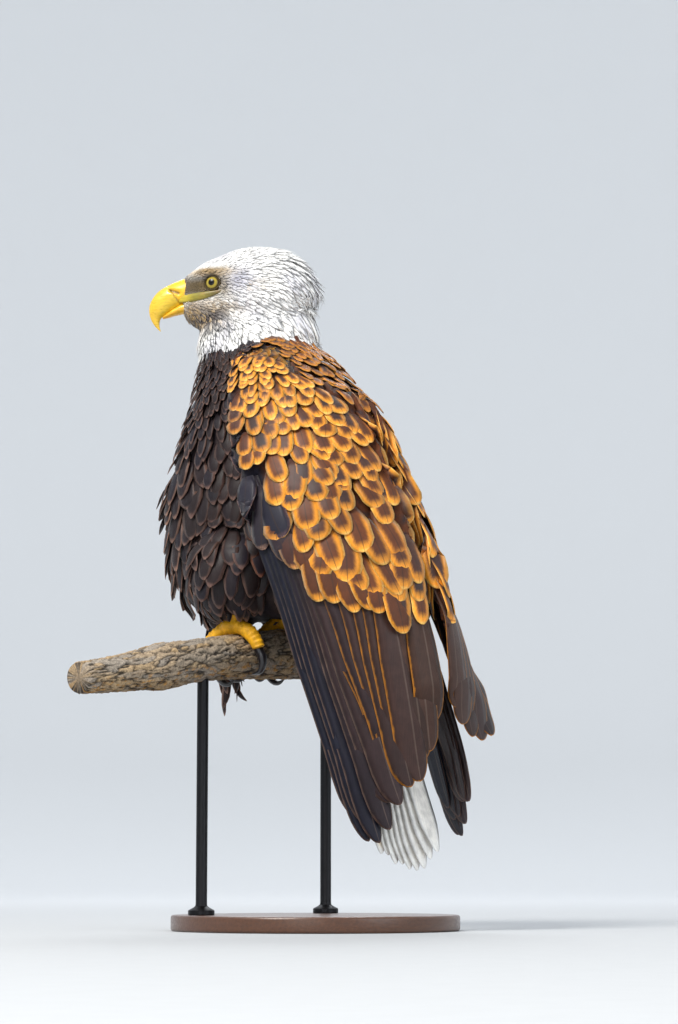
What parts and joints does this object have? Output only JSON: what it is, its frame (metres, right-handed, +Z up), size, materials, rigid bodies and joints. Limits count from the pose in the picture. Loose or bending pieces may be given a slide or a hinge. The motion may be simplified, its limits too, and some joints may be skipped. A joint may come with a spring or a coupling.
{
  "type": "bald eagle display model",
  "caption": "Life-size bald eagle standing upright with its head turned to its left and wings folded, gripping a cut length of branch on a round stand",
  "frame": {"origin": "centre of the stand base's flat underside", "axes": "+Z up, -Y the way the bird's breast faces, +X the bird's left side"},
  "size_m": [0.4836, 0.387, 0.8086],
  "materials": {
    "white_plumage": "soft matt white feathers, shaded lavender-grey",
    "dark_plumage": "matt dark brown to blue-black feathers with paler tips",
    "golden_plumage": "matt chestnut feathers with golden fringes",
    "flight_feathers": "satin dark brown to blue-black feathers",
    "eye": "wet gloss, pale yellow iris with a black pupil",
    "bill": "satin yellow horn turning orange at its hook",
    "cere": "soft satin yellow skin",
    "foot_skin": "scaled yellow skin",
    "talon": "polished black horn",
    "bark": "cracked grey-tan bark with ochre lichen",
    "stand_wood": "satin dark walnut",
    "stand_metal": "satin black"
  },
  "bodies": {
    "root": {"head": "white_plumage", "eye_left": "eye", "eye_right": "eye", "bill_upper": "bill", "cere": "cere", "bill_lower": "bill", "neck": "white_plumage", "trunk": "dark_plumage", "tail_coverts": "white_plumage", "tail": "white_plumage", "wing_left_coverts": "golden_plumage", "wing_left_primaries": "flight_feathers", "wing_left_secondaries": "flight_feathers", "leg_left": "dark_plumage", "foot_left": "foot_skin", "talon_left_inner": "talon", "talon_left_middle": "talon", "talon_left_outer": "talon", "talon_left_hallux": "talon", "wing_right_coverts": "golden_plumage", "wing_right_primaries": "flight_feathers", "wing_right_secondaries": "flight_feathers", "leg_right": "dark_plumage", "foot_right": "foot_skin", "talon_right_inner": "talon", "talon_right_middle": "talon", "talon_right_outer": "talon", "talon_right_hallux": "talon", "perch": "bark", "stand_rod_right": "stand_metal", "stand_rod_left": "stand_metal", "stand_base": "stand_wood"}
  },
  "joints": []
}
